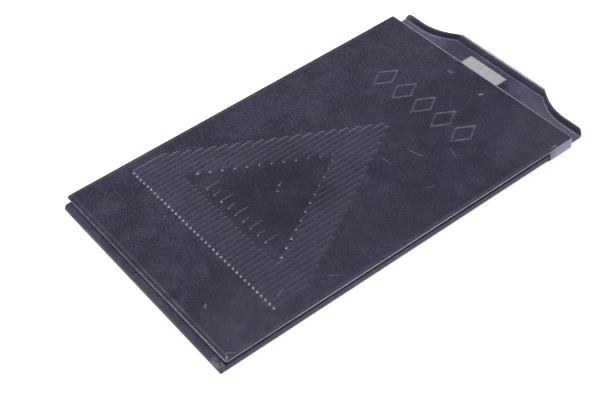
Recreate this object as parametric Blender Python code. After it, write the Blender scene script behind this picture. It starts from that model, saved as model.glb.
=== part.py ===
"""Single metal plate holder for 6.5 x 9 cm plates, lying with its embossed back up.

X runs across the holder, Y along it towards the pull of the dark slide, Z up.
The origin is under the middle of the whole object, on the plane of the light-trap cover.
"""

import math

import bmesh
import bpy
from mathutils import Vector

MM = 0.001
GAP = 0.05 * MM
SHEET = 0.4 * MM
CORNER_SEGMENTS = 4

# Overall plan
OVERALL_L = 120.6 * MM
END_REACH = 1.85 * MM
NEAR = END_REACH - OVERALL_L / 2
BACK_L = 109.33 * MM
FAR = NEAR + BACK_L
BACK_HALF = 35.15 * MM
BACK_CORNER_R = 0.9 * MM
BLOCK_HALF = 35.2 * MM
BLOCK_START = NEAR + 101.25 * MM

# Levels
BACK_TOP = 3.8 * MM
BACK_UNDER = BACK_TOP - SHEET
HEM_UNDER = 3.3 * MM
HEM_W = 1.0 * MM
FLAP_UNDER = 0.3 * MM
FLANGE_TOP = 2.65 * MM
FLANGE_UNDER = 1.0 * MM
FOOT_TOP = FLANGE_TOP - SHEET
RUNNER_T = 0.3 * MM
LIP_UNDER = 0.2 * MM
LIP_TOP = LIP_UNDER + RUNNER_T
RUNNER_TOP = FLANGE_UNDER + RUNNER_T
SLIDE_TOP = 1.0 * MM
SLIDE_UNDER = 0.58 * MM
POCKET_FLOOR = 1.1 * MM

# Channels and pocket
FLANGE_HALF = 35.1 * MM
FLANGE_CORNER_R = 0.35 * MM
RUNNER_HALF = 34.57 * MM
RUNNER_REACH = 1.5 * MM
POCKET_HALF = 32.7 * MM
WALL_HALF = POCKET_HALF + SHEET
FOOT_HALF = RUNNER_HALF - RUNNER_T - GAP
FOOT_NEAR = NEAR - RUNNER_REACH + RUNNER_T + GAP
POCKET_NEAR = NEAR + 1.2 * MM
WALL_NEAR = POCKET_NEAR - SHEET
RUN_END = NEAR + 101.0 * MM
END_LIP_REACH = NEAR + 3.0 * MM
STOP_REACH = NEAR + 3.2 * MM
STOP_LEG = 0.3 * MM

# Embossing on the back
EMBOSS_H = 0.2 * MM
RIB_COUNT = 38
RIB_PITCH = 1.63 * MM
RIB_W = 1.5 * MM
RIB_CREST_W = 0.8 * MM
RIB_BASE = NEAR + 17.4 * MM
TRIANGLE_APEX = NEAR + 80.3 * MM
TRIANGLE_SLOPE = 1.70
PLAIN_BASE = NEAR + 26.5 * MM
PLAIN_APEX = NEAR + 61.8 * MM
PLAIN_SLOPE = 1.74
LOZENGE_COUNT = 5
LOZENGE_PITCH = 7.7 * MM
LOZENGE_Y = NEAR + 89.7 * MM
LOZENGE_HALF_W = 3.4 * MM
LOZENGE_HALF_L = 5.4 * MM
LOZENGE_STROKE = 0.62
TICK_COUNT = 9
TICK_PITCH = 3.1 * MM
TICK_Y = NEAR + 28.2 * MM
TICK_W = 0.9 * MM
TICK_CREST_W = 0.4 * MM
TICK_LONG = 4.2 * MM
TICK_SHORT = 2.4 * MM

# Dark slide and its pull
SLIDE_HALF = 34.2 * MM
SLIDE_TIP = NEAR - 1.1 * MM
EAR_Y = NEAR + 113.3 * MM
RIM_TOP_Z = 2.85 * MM
RIM_T = 0.42 * MM
EAR_ROUND = 1.5 * MM
EAR_STEPS = (0.0, 0.35, 0.7, 1.0)
EAR_LOW = 0.25
RIM_STEPS = 8
FLOOR_FLAT_X = 17.3 * MM
FLOOR_FLAT_Y = NEAR + 117.15 * MM
CREST_FLAT_X = 15.6 * MM
CREST_FLAT_Y = NEAR + 118.75 * MM
CREST_EAR_Y = NEAR + 114.15 * MM
SWEEP_END_X = 28.0 * MM
SWEEP_BEND_X = 0.75
SWEEP_BEND_Y = 0.55
SWEEP_EASE_X = 1.5

# Light trap
COVER_T = 0.25 * MM
COVER_HALF = 34.6 * MM
UPSTAND_HALF = COVER_HALF - 0.3 * MM
TRAP_BAR_HALF = UPSTAND_HALF - GAP
TRAP_BAR_START = NEAR + 101.35 * MM
TRAP_BAR_END = NEAR + 109.0 * MM
TRAP_BAR_TOP = 2.88 * MM
TRAP_RECESS_TOP = 2.58 * MM
VELVET_START = NEAR + 102.5 * MM
VELVET_END = NEAR + 108.2 * MM
VELVET_HALF = 33.6 * MM
VELVET_PILE = 0.45 * MM
VELVET_TOP = SLIDE_TOP + GAP + VELVET_PILE
CARRIER_UNDER = VELVET_TOP + GAP
CARRIER_T = 0.15 * MM
CARRIER_TOP = CARRIER_UNDER + CARRIER_T
TRAP_SPRING_W = 4.0 * MM
TRAP_SPRING_HALF = 30.0 * MM
TRAP_SPRING_STEPS = 24
SHELF_HALF = POCKET_HALF - GAP
SHELF_START = NEAR + 95.2 * MM
SHELF_TOP = POCKET_FLOOR + SHEET

# Plate catch
CATCH_HALF = 6.85 * MM
CATCH_TOP = 3.35 * MM
CATCH_UNDER = 2.95 * MM
CATCH_START = NEAR + 92.6 * MM
TONGUE_TIP = NEAR + 113.45 * MM
HOOK_HALF = 20.0 * MM
HOOK_FACE = NEAR + 91.8 * MM
HOOK_TOP = 2.9 * MM
HOOK_T = 0.35 * MM
HOOK_LEG_END = NEAR + 95.0 * MM
HOOK_LIP_START = NEAR + 90.3 * MM
RIVET_Y = NEAR + 93.8 * MM
RIVET_OFFSET = 4.0 * MM
RIVET_R = 0.6 * MM
RIVET_HOLE_R = 0.72 * MM
RIVET_HEAD_R = 1.1 * MM
RIVET_SEGMENTS = 12
KEEPER_START = NEAR + 97.8 * MM
KEEPER_END = NEAR + 100.6 * MM
KEEPER_REACH = 3.5 * MM
KEEPER_T = 0.3 * MM
BOW_WIRE = 0.45 * MM
BOW_Z = 2.1 * MM
BOW_HALF = 18.0 * MM
BOW_STEPS = 20
BOW_APEX = HOOK_LEG_END + GAP + BOW_WIRE / 2
BOW_ENDS = TRAP_BAR_START - GAP - BOW_WIRE / 2

# Pressure springs
SPRING_X = 16.0 * MM
SPRING_W = 8.0 * MM
SPRING_T = 0.2 * MM
SPRING_START = NEAR + 22.0 * MM
SPRING_WELD = NEAR + 30.0 * MM
SPRING_END = NEAR + 74.0 * MM
SPRING_DEPTH = 1.2 * MM
SPRING_STEPS = 16

COLOURS = {
    "lacquer": ((0.052, 0.051, 0.075, 1.0), 0.38, 0.0),
    "bright_steel": ((0.46, 0.46, 0.45, 1.0), 0.35, 1.0),
    "spring_steel": ((0.30, 0.29, 0.28, 1.0), 0.40, 1.0),
    "velvet": ((0.012, 0.011, 0.014, 1.0), 0.95, 0.0),
    "brass": ((0.52, 0.36, 0.14, 1.0), 0.40, 1.0),
}


def clear_scene():
    """Remove the objects of the open scene."""
    for obj in list(bpy.data.objects):
        bpy.data.objects.remove(obj, do_unlink=True)


def material(node, kind):
    """The node's own Principled BSDF material."""
    colour, roughness, metallic = COLOURS[kind]
    mat = bpy.data.materials.new(node)
    mat.use_nodes = True
    bsdf = mat.node_tree.nodes["Principled BSDF"]
    bsdf.inputs["Base Color"].default_value = colour
    bsdf.inputs["Roughness"].default_value = roughness
    bsdf.inputs["Metallic"].default_value = metallic
    return mat


def add_object(name, bm, kind=None, pivot=(0.0, 0.0, 0.0)):
    """Turn a bmesh in world coordinates into an object with its origin at pivot."""
    bmesh.ops.recalc_face_normals(bm, faces=bm.faces)
    bmesh.ops.translate(bm, vec=-Vector(pivot), verts=bm.verts)
    mesh = bpy.data.meshes.new(name)
    bm.to_mesh(mesh)
    bm.free()
    obj = bpy.data.objects.new(name, mesh)
    obj.location = pivot
    bpy.context.collection.objects.link(obj)
    if kind:
        mesh.materials.append(material(name, kind))
    return obj


def add_box(bm, low, high):
    """Add a closed box between two corners."""
    size = Vector(high) - Vector(low)
    made = bmesh.ops.create_cube(bm, size=1.0)
    bmesh.ops.scale(bm, vec=size, verts=made["verts"])
    bmesh.ops.translate(bm, vec=(Vector(high) + Vector(low)) / 2, verts=made["verts"])
    return made["verts"]


def box_mesh(low, high):
    """A bmesh that holds one box."""
    bm = bmesh.new()
    add_box(bm, low, high)
    return bm


def boolean(obj, bm, operation):
    """Join or cut obj with the bodies in bm, through a hidden helper object."""
    helper = add_object(f"{obj.name}_{operation.lower()}_{len(obj.modifiers)}", bm)
    helper.hide_render = True
    helper.display_type = "WIRE"
    helper.parent = obj
    helper.matrix_parent_inverse = obj.matrix_basis.inverted()
    mod = obj.modifiers.new(operation.lower(), "BOOLEAN")
    mod.operation = operation
    mod.object = helper
    mod.solver = "EXACT"
    return helper


def prism(bm, low_points, high_points):
    """Add a closed solid whose bottom and top are matching loops of points."""
    low = [bm.verts.new(p) for p in low_points]
    high = [bm.verts.new(p) for p in high_points]
    bm.faces.new(list(reversed(low)))
    bm.faces.new(high)
    count = len(low)
    for i in range(count):
        j = (i + 1) % count
        bm.faces.new((low[i], low[j], high[j], high[i]))


def add_ridge(bm, x, y0, y1, width, crest):
    """Add one embossed bar along Y, with sloping flanks and ends, rooted in the sheet."""
    slope = (width - crest) / 2
    half, half_crest = width / 2, crest / 2
    z0, z1 = BACK_TOP - SHEET / 2, BACK_TOP + EMBOSS_H
    low = [(x - half, y0, z0), (x + half, y0, z0), (x + half, y1, z0), (x - half, y1, z0)]
    high = [
        (x - half_crest, y0 + slope, z1),
        (x + half_crest, y0 + slope, z1),
        (x + half_crest, y1 - slope, z1),
        (x - half_crest, y1 - slope, z1),
    ]
    prism(bm, low, high)


def rib_spans(x):
    """The stretches of Y that the rib at offset x covers, outside the plain triangle."""
    top = TRIANGLE_APEX - TRIANGLE_SLOPE * abs(x)
    plain_top = PLAIN_APEX - PLAIN_SLOPE * abs(x)
    if plain_top <= PLAIN_BASE + RIB_PITCH:
        return [(RIB_BASE, top)]
    return [(RIB_BASE, PLAIN_BASE), (plain_top, top)]


def ribs():
    """The ribbed triangle on the back."""
    bm = bmesh.new()
    for i in range(RIB_COUNT):
        x = (i - (RIB_COUNT - 1) / 2) * RIB_PITCH
        for y0, y1 in rib_spans(x):
            add_ridge(bm, x, y0, y1, RIB_W, RIB_CREST_W)
    return bm


def lozenge_points(x, scale, z):
    """The corners of a rhombus about (x, LOZENGE_Y)."""
    half_w, half_l = LOZENGE_HALF_W * scale, LOZENGE_HALF_L * scale
    return [
        (x + half_w, LOZENGE_Y, z),
        (x, LOZENGE_Y + half_l, z),
        (x - half_w, LOZENGE_Y, z),
        (x, LOZENGE_Y - half_l, z),
    ]


def add_lozenge(bm, x):
    """Add one raised rhombus ring."""
    z0, z1 = BACK_TOP - SHEET / 2, BACK_TOP + EMBOSS_H
    loops = []
    for scale, z in ((1.0, z0), (1.0, z1), (LOZENGE_STROKE, z1), (LOZENGE_STROKE, z0)):
        loops.append([bm.verts.new(p) for p in lozenge_points(x, scale, z)])
    for k in range(len(loops)):
        inner, outer = loops[k], loops[(k + 1) % len(loops)]
        for i in range(len(inner)):
            j = (i + 1) % len(inner)
            bm.faces.new((inner[i], inner[j], outer[j], outer[i]))


def lozenges_and_ticks():
    """The row of plain ornaments and the row of short bars."""
    bm = bmesh.new()
    for i in range(LOZENGE_COUNT):
        add_lozenge(bm, (i - (LOZENGE_COUNT - 1) / 2) * LOZENGE_PITCH)
    for i in range(TICK_COUNT):
        x = (i - (TICK_COUNT - 1) / 2) * TICK_PITCH
        length = TICK_SHORT if i % 2 else TICK_LONG
        add_ridge(bm, x, TICK_Y, TICK_Y + length, TICK_W, TICK_CREST_W)
    return bm


def round_near_corners(bm, near, radius):
    """Round the two upright edges of a box at its near end."""
    corners = [
        e
        for e in bm.edges
        if all(v.co.y < near + GAP for v in e.verts)
        and abs(e.verts[0].co.x - e.verts[1].co.x) < GAP
    ]
    bmesh.ops.bevel(
        bm, geom=corners, offset=radius, segments=CORNER_SEGMENTS, affect="EDGES", profile=0.5
    )


def build_back_panel():
    """Embossed back sheet, its hem and the folded-down walls of the light-trap block."""
    bm = box_mesh((-BACK_HALF, NEAR, HEM_UNDER), (BACK_HALF, FAR - SHEET, BACK_TOP))
    round_near_corners(bm, NEAR, BACK_CORNER_R)
    panel = add_object("back_panel", bm, "lacquer")
    inner = BACK_HALF - HEM_W
    under = box_mesh((-inner, NEAR + HEM_W, 0.0), (inner, FAR + HEM_W, BACK_UNDER))
    boolean(panel, under, "DIFFERENCE")
    bm = box_mesh((-BLOCK_HALF, BLOCK_START, FLAP_UNDER), (BLOCK_HALF, FAR, BACK_TOP))
    boolean(panel, bm, "UNION")
    inside = BLOCK_HALF - SHEET
    bm = box_mesh((-inside, BLOCK_START - SHEET, 0.0), (inside, FAR + SHEET, BACK_UNDER))
    boolean(panel, bm, "DIFFERENCE")
    boolean(panel, ribs(), "UNION")
    boolean(panel, lozenges_and_ticks(), "UNION")
    return panel


def build_pocket_frame():
    """Walls round the plate pocket, with a foot that carries the channels."""
    bm = box_mesh((-FOOT_HALF, FOOT_NEAR, POCKET_FLOOR), (FOOT_HALF, RUN_END, FOOT_TOP - GAP))
    frame = add_object("pocket_frame", bm, "lacquer")
    wall_top = HEM_UNDER - GAP
    bm = box_mesh((-WALL_HALF, WALL_NEAR, POCKET_FLOOR), (WALL_HALF, RUN_END, wall_top))
    boolean(frame, bm, "UNION")
    pocket_low = (-POCKET_HALF, POCKET_NEAR, 0.0)
    boolean(frame, box_mesh(pocket_low, (POCKET_HALF, FAR, BACK_TOP)), "DIFFERENCE")
    return frame


def build_side_channel(name, side):
    """Folded strip along one side: flange above, runner and lip round the dark slide."""
    edge = SHEET / 4
    profile = [
        (POCKET_HALF + GAP, LIP_UNDER),
        (RUNNER_HALF, LIP_UNDER),
        (RUNNER_HALF, FLANGE_UNDER),
        (FLANGE_HALF - edge, FLANGE_UNDER),
        (FLANGE_HALF, FLANGE_UNDER + edge),
        (FLANGE_HALF, FLANGE_TOP - edge),
        (FLANGE_HALF - edge, FLANGE_TOP),
        (WALL_HALF + GAP, FLANGE_TOP),
        (WALL_HALF + GAP, FOOT_TOP),
        (FLANGE_HALF - SHEET, FOOT_TOP),
        (FLANGE_HALF - SHEET, RUNNER_TOP),
        (RUNNER_HALF - RUNNER_T, RUNNER_TOP),
        (RUNNER_HALF - RUNNER_T, LIP_TOP),
        (POCKET_HALF + GAP, LIP_TOP),
    ]
    near, far = NEAR + GAP, RUN_END
    bm = bmesh.new()
    prism(
        bm,
        [(side * x, near, z) for x, z in profile],
        [(side * x, far, z) for x, z in profile],
    )
    return add_object(name, bm, "lacquer")


def build_end_channel():
    """The same strip across the near end, with its outer corners."""
    near, far = NEAR - END_REACH, NEAR - GAP
    bm = box_mesh((-FLANGE_HALF, near, FLANGE_UNDER), (FLANGE_HALF, far, FLANGE_TOP))
    round_near_corners(bm, near, FLANGE_CORNER_R)
    channel = add_object("slide_channel_end", bm, "lacquer")
    runner_near = NEAR - RUNNER_REACH
    low = (-RUNNER_HALF, runner_near, LIP_UNDER)
    boolean(channel, box_mesh(low, (RUNNER_HALF, far, RUNNER_TOP)), "UNION")
    lip_half = POCKET_HALF - GAP
    lip = box_mesh((-lip_half, far - SHEET, LIP_UNDER), (lip_half, END_LIP_REACH, LIP_TOP))
    boolean(channel, lip, "UNION")
    flange_reach = WALL_NEAR - GAP
    top = box_mesh((-lip_half, far - SHEET, FOOT_TOP), (lip_half, flange_reach, FLANGE_TOP))
    boolean(channel, top, "UNION")
    half = RUNNER_HALF - RUNNER_T
    low = (-half, runner_near + RUNNER_T, LIP_TOP)
    boolean(channel, box_mesh(low, (half, BACK_L, FOOT_TOP)), "DIFFERENCE")
    half = FLANGE_HALF - SHEET
    low = (-half, near + SHEET, RUNNER_TOP)
    boolean(channel, box_mesh(low, (half, BACK_L, FOOT_TOP)), "DIFFERENCE")
    return channel


def build_plate_stop():
    """Fixed lip that holds the near edge of the plate."""
    half = POCKET_HALF - GAP
    near = POCKET_NEAR + GAP
    bm = box_mesh((-half, near, POCKET_FLOOR), (half, STOP_REACH, POCKET_FLOOR + STOP_LEG))
    stop = add_object("plate_stop", bm, "lacquer")
    leg_top = BACK_UNDER - SHEET
    bm = box_mesh((-half, near, POCKET_FLOOR), (half, near + STOP_LEG, leg_top))
    boolean(stop, bm, "UNION")
    return stop


def bezier(p0, p1, p2, p3, t):
    """A point of a cubic curve in plan."""
    s = 1.0 - t
    weights = (s * s * s, 3 * s * s * t, 3 * s * t * t, t * t * t)
    return tuple(sum(w * p[k] for w, p in zip(weights, (p0, p1, p2, p3))) for k in (0, 1))


def sweep(flat_x, flat_y, ear_y, end_x):
    """Half an outline of the pull: straight middle, hollow sweep, straight ear."""
    drop = flat_y - ear_y
    bend = (flat_x, flat_y), (flat_x + SWEEP_BEND_X * drop, flat_y - SWEEP_BEND_Y * drop)
    rest = (flat_x + SWEEP_EASE_X * drop, ear_y), (SWEEP_END_X, ear_y)
    points = [bezier(*bend, *rest, i / RIM_STEPS) for i in range(RIM_STEPS + 1)]
    ear = [SLIDE_HALF - EAR_ROUND * (1 - f) for f in EAR_STEPS]
    return [(0.0, flat_y)] + points + [(x * end_x / SLIDE_HALF, ear_y) for x in ear]


def mirrored(half):
    """The whole outline, left ear to right ear, from its right half."""
    return [(-x, y) for x, y in reversed(half[1:])] + half


def rim_height(x):
    """How much of the full height the rim has at x: its ends are rounded off."""
    reach = (SLIDE_HALF - abs(x)) / EAR_ROUND
    if reach >= 1.0:
        return 1.0
    return max(EAR_LOW, math.sqrt(max(0.0, 1.0 - (1.0 - reach) ** 2)))


def pull_floor(foot):
    """The sheet of the dark slide, out to the line where the rim turns up."""
    outline = [(SLIDE_HALF, SLIDE_TIP)] + [p for p in reversed(foot)] + [(-SLIDE_HALF, SLIDE_TIP)]
    bm = bmesh.new()
    prism(
        bm,
        [(x, y, SLIDE_UNDER) for x, y in outline],
        [(x, y, SLIDE_TOP) for x, y in outline],
    )
    return bm


def rim_wall(foot, crest):
    """The turned-up rim: one closed strip of even thickness that leans outwards."""
    bm = bmesh.new()
    rings = []
    for (fx, fy), (cx, cy) in zip(foot, crest):
        share = rim_height(fx)
        top_x, top_y = fx + (cx - fx) * share, fy + (cy - fy) * share
        top_z = SLIDE_TOP + (RIM_TOP_Z - SLIDE_TOP) * share
        ring = [
            (fx, fy - RIM_T / 2, SLIDE_UNDER),
            (fx, fy + RIM_T, SLIDE_UNDER),
            (top_x, top_y, top_z),
            (top_x, top_y - RIM_T, top_z),
            (fx, fy, SLIDE_TOP),
            (fx, fy - RIM_T / 2, SLIDE_TOP - SHEET / 4),
        ]
        rings.append([bm.verts.new(p) for p in ring])
    for a, b in zip(rings, rings[1:]):
        for i in range(len(a)):
            j = (i + 1) % len(a)
            bm.faces.new((a[i], a[j], b[j], b[i]))
    bm.faces.new(rings[0])
    bm.faces.new(list(reversed(rings[-1])))
    return bm


def build_dark_slide():
    """Dark slide: its sheet and its pull, with the rim joined to the floor."""
    foot = mirrored(sweep(FLOOR_FLAT_X, FLOOR_FLAT_Y, EAR_Y, SLIDE_HALF))
    crest = mirrored(sweep(CREST_FLAT_X, CREST_FLAT_Y, CREST_EAR_Y, SLIDE_HALF))
    slide = add_object("dark_slide", pull_floor(foot), "lacquer", (0.0, SLIDE_TIP, SLIDE_TOP))
    boolean(slide, rim_wall(foot, crest), "UNION")
    return slide


def build_trap_bar():
    """Upper half of the light trap, with its shelf towards the pocket."""
    low = (-TRAP_BAR_HALF, TRAP_BAR_START, POCKET_FLOOR)
    bm = box_mesh(low, (TRAP_BAR_HALF, TRAP_BAR_END, TRAP_BAR_TOP))
    bar = add_object("trap_bar", bm, "lacquer")
    shelf_end = TRAP_BAR_START + SHEET
    bm = box_mesh((-SHELF_HALF, SHELF_START, POCKET_FLOOR), (SHELF_HALF, shelf_end, SHELF_TOP))
    boolean(bar, bm, "UNION")
    low = (-VELVET_HALF - GAP, VELVET_START - GAP, 0.0)
    high = (VELVET_HALF + GAP, VELVET_END + GAP, TRAP_RECESS_TOP)
    boolean(bar, box_mesh(low, high), "DIFFERENCE")
    return bar


def build_trap_cover():
    """Lower half of the light trap: a flat channel under the block."""
    end = FAR - GAP
    bm = box_mesh((-COVER_HALF, BLOCK_START, 0.0), (COVER_HALF, end, BACK_UNDER - GAP))
    cover = add_object("trap_cover", bm, "lacquer")
    low = (-UPSTAND_HALF, BLOCK_START - SHEET, COVER_T)
    boolean(cover, box_mesh(low, (UPSTAND_HALF, FAR + SHEET, BACK_TOP)), "DIFFERENCE")
    return cover


def build_trap_strip(name, kind, z0, z1):
    """One flat strip across the light trap: velvet or its carrier."""
    bm = box_mesh((-VELVET_HALF, VELVET_START, z0), (VELVET_HALF, VELVET_END, z1))
    return add_object(name, bm, kind)


def strip_along(name, kind, points, width_axis, width, thickness_axis, thickness):
    """A bent strip through points, given as Vectors, closed and of even thickness."""
    across = Vector(width_axis) * (width / 2)
    up = Vector(thickness_axis) * (thickness / 2)
    bm = bmesh.new()
    rings = []
    for p in points:
        corners = (p - across - up, p + across - up, p + across + up, p - across + up)
        rings.append([bm.verts.new(c) for c in corners])
    for a, b in zip(rings, rings[1:]):
        for i in range(len(a)):
            j = (i + 1) % len(a)
            bm.faces.new((a[i], a[j], b[j], b[i]))
    bm.faces.new(rings[0])
    bm.faces.new(list(reversed(rings[-1])))
    return add_object(name, bm, kind)


def build_trap_spring():
    """Bow spring over the velvet carrier, its middle pressing down."""
    top = TRAP_RECESS_TOP - GAP - SPRING_T / 2
    bottom = CARRIER_TOP + GAP + SPRING_T / 2
    middle_y = (VELVET_START + VELVET_END) / 2
    points = []
    for i in range(TRAP_SPRING_STEPS + 1):
        share = 2 * i / TRAP_SPRING_STEPS - 1
        z = bottom + (top - bottom) * share**2
        points.append(Vector((share * TRAP_SPRING_HALF, middle_y, z)))
    return strip_along(
        "trap_spring", "spring_steel", points, (0, 1, 0), TRAP_SPRING_W, (0, 0, 1), SPRING_T
    )


def build_pressure_spring(name, side):
    """Leaf spring under the back, welded at one end, bowed towards the plate."""
    top = BACK_UNDER - GAP - SPRING_T / 2
    points = [Vector((side * SPRING_X, SPRING_START, top))]
    for i in range(SPRING_STEPS + 1):
        t = i / SPRING_STEPS
        z = top - SPRING_DEPTH * math.sin(math.pi * t) ** 2
        points.append(Vector((side * SPRING_X, SPRING_WELD + (SPRING_END - SPRING_WELD) * t, z)))
    return strip_along(name, "spring_steel", points, (1, 0, 0), SPRING_W, (0, 0, 1), SPRING_T)


def rivet_cylinders(radius, z0, z1, sides=(-1, 1)):
    """One cylinder for each rivet, between two heights."""
    bm = bmesh.new()
    for side in sides:
        made = bmesh.ops.create_cone(
            bm,
            cap_ends=True,
            segments=RIVET_SEGMENTS,
            radius1=radius,
            radius2=radius,
            depth=z1 - z0,
        )
        centre = (side * RIVET_OFFSET, RIVET_Y, (z0 + z1) / 2)
        bmesh.ops.translate(bm, vec=centre, verts=made["verts"])
    return bm


def build_plate_catch():
    """Bright strip of the plate catch; its tail is the tongue beyond the back."""
    low = (-CATCH_HALF, CATCH_START, CATCH_UNDER)
    high = (CATCH_HALF, TONGUE_TIP, CATCH_TOP)
    pivot = (0.0, FAR, CATCH_UNDER)
    strip = add_object("plate_catch", box_mesh(low, high), "bright_steel", pivot)
    holes = rivet_cylinders(RIVET_HOLE_R, CATCH_UNDER - SHEET, CATCH_TOP + SHEET)
    boolean(strip, holes, "DIFFERENCE")
    return strip


def build_catch_hook():
    """Hook across the far edge of the plate, under the catch strip."""
    profile = [
        (HOOK_FACE, HOOK_TOP),
        (HOOK_LEG_END, HOOK_TOP),
        (HOOK_LEG_END, HOOK_TOP - HOOK_T),
        (HOOK_FACE + HOOK_T, HOOK_TOP - HOOK_T),
        (HOOK_FACE + HOOK_T, POCKET_FLOOR),
        (HOOK_LIP_START, POCKET_FLOOR),
        (HOOK_LIP_START, POCKET_FLOOR + HOOK_T),
        (HOOK_FACE, POCKET_FLOOR + HOOK_T),
    ]
    bm = bmesh.new()
    prism(
        bm,
        [(-HOOK_HALF, y, z) for y, z in profile],
        [(HOOK_HALF, y, z) for y, z in profile],
    )
    hook = add_object("catch_hook", bm, "spring_steel", (0.0, FAR, CATCH_UNDER))
    holes = rivet_cylinders(RIVET_HOLE_R, HOOK_TOP - 2 * HOOK_T, CATCH_TOP)
    boolean(hook, holes, "DIFFERENCE")
    return hook


def build_catch_rivet(name, side):
    """One of the two rivets that join strip and hook."""
    head_top = HOOK_TOP - HOOK_T - GAP
    shank = rivet_cylinders(RIVET_R, head_top - HOOK_T / 2, CATCH_TOP, (side,))
    rivet = add_object(name, shank, "bright_steel", (0.0, FAR, CATCH_UNDER))
    head = rivet_cylinders(RIVET_HEAD_R, head_top - HOOK_T, head_top, (side,))
    boolean(rivet, head, "UNION")
    return rivet


def build_catch_keeper():
    """Strap under the back that the catch strip slides through."""
    half = CATCH_HALF + 3 * GAP
    outer = half + KEEPER_T
    tab = outer + KEEPER_REACH
    z0, z1 = CATCH_UNDER - GAP - KEEPER_T, BACK_UNDER - GAP
    bm = box_mesh((-tab, KEEPER_START, z1 - KEEPER_T), (tab, KEEPER_END, z1))
    keeper = add_object("catch_keeper", bm, "spring_steel")
    bridge = box_mesh((-outer, KEEPER_START, z0), (outer, KEEPER_END, z1))
    boolean(keeper, bridge, "UNION")
    low = (-half, KEEPER_START - KEEPER_T, CATCH_UNDER - GAP)
    passage = box_mesh(low, (half, KEEPER_END + KEEPER_T, BACK_TOP))
    boolean(keeper, passage, "DIFFERENCE")
    return keeper


def build_catch_spring():
    """Bow spring between the hook and the light trap that returns the catch."""
    points = []
    for i in range(BOW_STEPS + 1):
        share = 2 * i / BOW_STEPS - 1
        y = BOW_APEX + (BOW_ENDS - BOW_APEX) * share**2
        points.append(Vector((share * BOW_HALF, y, BOW_Z)))
    return strip_along(
        "catch_spring", "spring_steel", points, (0, 0, 1), BOW_WIRE, (0, 1, 0), BOW_WIRE
    )


def build():
    """The whole plate holder."""
    clear_scene()
    build_back_panel()
    build_pocket_frame()
    build_side_channel("slide_channel_left", -1)
    build_side_channel("slide_channel_right", 1)
    build_end_channel()
    build_plate_stop()
    build_dark_slide()
    build_trap_bar()
    build_trap_cover()
    build_trap_strip("velvet_upper", "velvet", SLIDE_TOP + GAP, VELVET_TOP)
    build_trap_strip("velvet_lower", "velvet", COVER_T + GAP, SLIDE_UNDER - GAP)
    build_trap_strip("velvet_carrier", "brass", CARRIER_UNDER, CARRIER_TOP)
    build_trap_spring()
    build_pressure_spring("pressure_spring_left", -1)
    build_pressure_spring("pressure_spring_right", 1)
    build_plate_catch()
    build_catch_hook()
    build_catch_rivet("catch_rivet_left", -1)
    build_catch_rivet("catch_rivet_right", 1)
    build_catch_keeper()
    build_catch_spring()


build()
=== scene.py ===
import math

import bpy
import numpy as np
from mathutils import Matrix, Vector


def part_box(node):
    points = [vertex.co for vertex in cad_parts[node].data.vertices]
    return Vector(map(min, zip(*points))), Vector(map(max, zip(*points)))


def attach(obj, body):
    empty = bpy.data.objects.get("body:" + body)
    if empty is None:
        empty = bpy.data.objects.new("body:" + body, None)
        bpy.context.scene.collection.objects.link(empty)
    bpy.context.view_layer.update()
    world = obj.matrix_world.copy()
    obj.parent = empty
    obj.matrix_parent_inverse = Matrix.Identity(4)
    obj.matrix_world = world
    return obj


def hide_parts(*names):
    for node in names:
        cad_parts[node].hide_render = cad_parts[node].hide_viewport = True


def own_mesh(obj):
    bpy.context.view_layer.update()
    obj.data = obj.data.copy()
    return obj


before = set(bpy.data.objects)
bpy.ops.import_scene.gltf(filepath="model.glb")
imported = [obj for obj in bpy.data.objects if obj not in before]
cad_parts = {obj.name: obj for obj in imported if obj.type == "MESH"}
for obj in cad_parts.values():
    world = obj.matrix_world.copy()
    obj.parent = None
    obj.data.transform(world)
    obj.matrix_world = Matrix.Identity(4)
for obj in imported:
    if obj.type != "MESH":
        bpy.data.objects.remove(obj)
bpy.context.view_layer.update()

MM = 0.001

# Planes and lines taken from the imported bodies, in millimetres
BACK_LOW, BACK_HIGH = (np.array(c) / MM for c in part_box("back_panel"))
SLIDE_LOW, SLIDE_HIGH = (np.array(c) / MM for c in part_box("dark_slide"))
COVER_LOW = np.array(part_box("trap_cover")[0]) / MM

# Back sheet
CAD_EMBOSS_H = 0.2
NEAR = BACK_LOW[1]
BACK_TOP = BACK_HIGH[2] - CAD_EMBOSS_H
BACK_L = BACK_HIGH[1] - NEAR
BLOCK_HALF = BACK_HIGH[0]
HEM_HALF = BLOCK_HALF - 0.05
BLOCK_SHIFT = -0.2  # the block's walls are folded slightly towards -X
BLOCK_Y = COVER_LOW[1] - NEAR
FLAP_DROP = BACK_TOP - BACK_LOW[2]
SHEET = 0.4
HEM_T = 0.5
FOLD_LINE = 34.8
CORNER_R = 0.6
FIRST_ROW = 0.2  # the sheet's flat face starts this far from its near edge
CUT_REACH = 0.08  # and ends this far from its cut far edge
HEM_TURN = 0.85  # the edge's profiles end this far inside the flat face's border

# Embossing, with Y from the near edge
RIB_H = 0.2
RIB_COUNT = 38
RIB_PITCH = 1.63
RIB_SHIFT = -0.55  # the press stood a little to one side
RIB_R = 0.81
RIB_COLUMNS = (-0.79, -0.76, -0.62, -0.44, -0.22, 0.0, 0.22, 0.44, 0.62, 0.76, 0.79)
RIB_BASE = 17.05
INNER_EASE = 0.62
APEX, SLOPE = 78.95, 1.684
PLAIN_BASE, PLAIN_APEX, PLAIN_SLOPE, PLAIN_SHIFT = 26.5, 60.05, 1.68, -0.4
CAP_STEPS = (0.0, 0.06, 0.2, 0.38, 0.6, 0.81)
TICK_COUNT, TICK_PITCH, TICK_Y = 9, 3.1, 28.2
TICK_LONG, TICK_SHORT = 4.2, 2.4
STROKE_H, STROKE_R = 0.17, 0.42
LOZENGE_COUNT, LOZENGE_PITCH, LOZENGE_Y = 5, 7.7, 89.7
LOZENGE_HALF_W, LOZENGE_HALF_L = 2.75, 4.4
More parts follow.
